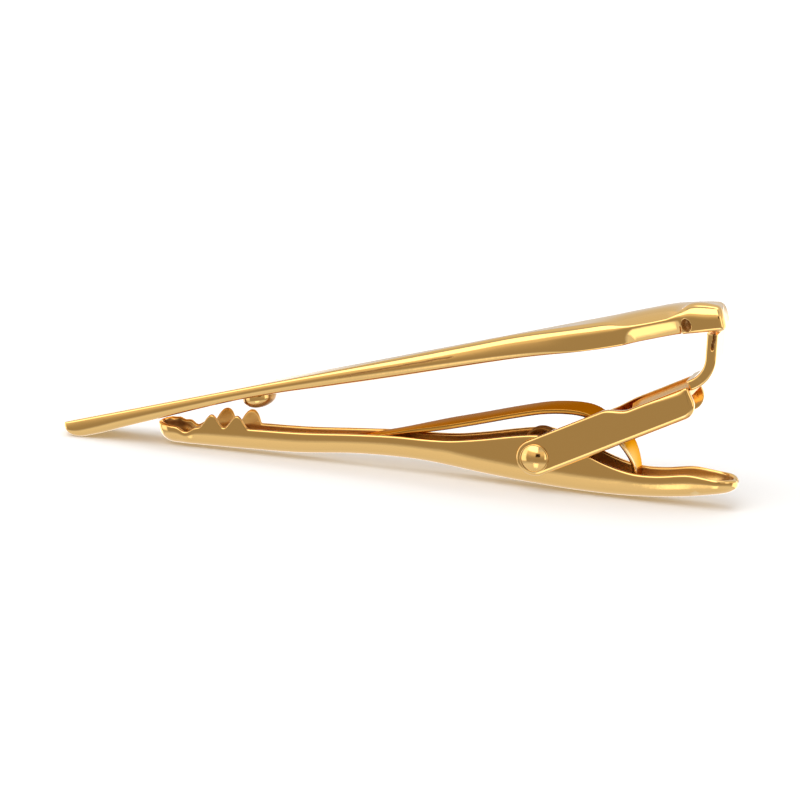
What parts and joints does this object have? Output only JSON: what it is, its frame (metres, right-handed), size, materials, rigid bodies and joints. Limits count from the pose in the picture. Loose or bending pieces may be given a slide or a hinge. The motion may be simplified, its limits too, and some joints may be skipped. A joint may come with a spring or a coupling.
{
  "type": "tie clip",
  "caption": "Spring tie clip of polished gold-plated brass: a slim domed bar hinged on a trough-shaped toothed jaw by a channel bracket and rivet, with a leaf spring inside.",
  "frame": {"origin": "middle of the bounding box's bottom, under the clip's middle", "axes": "+X along the clip from the jaw's open end to the neck, +Y across it to the far side of the picture, +Z from the jaw lever to the front bar"},
  "size_m": [0.0566, 0.0058, 0.0165],
  "materials": {
    "plated_bar": "polished pale gold plating",
    "plated_sheet": "polished pale gold plating",
    "plated_spring": "polished pale gold plating on spring strip and wire"
  },
  "bodies": {
    "jaw": {"jaw_lever": "plated_sheet", "leaf_spring": "plated_spring", "coil_spring": "plated_spring"},
    "front": {"front_bar": "plated_bar", "grip_button": "plated_bar", "neck_strip": "plated_bar", "pivot_bracket": "plated_sheet", "pivot_rivet": "plated_sheet"}
  },
  "joints": [
    {"name": "jaw_hinge", "type": "hinge", "parent": "jaw", "child": "front", "pos_m": [0.01218, 0, 0.00284], "axis": [0, 1, 0], "range_deg": [0, 12], "stiffness_Nm_per_rad": 0.15, "springref_deg": -20.05}
  ]
}
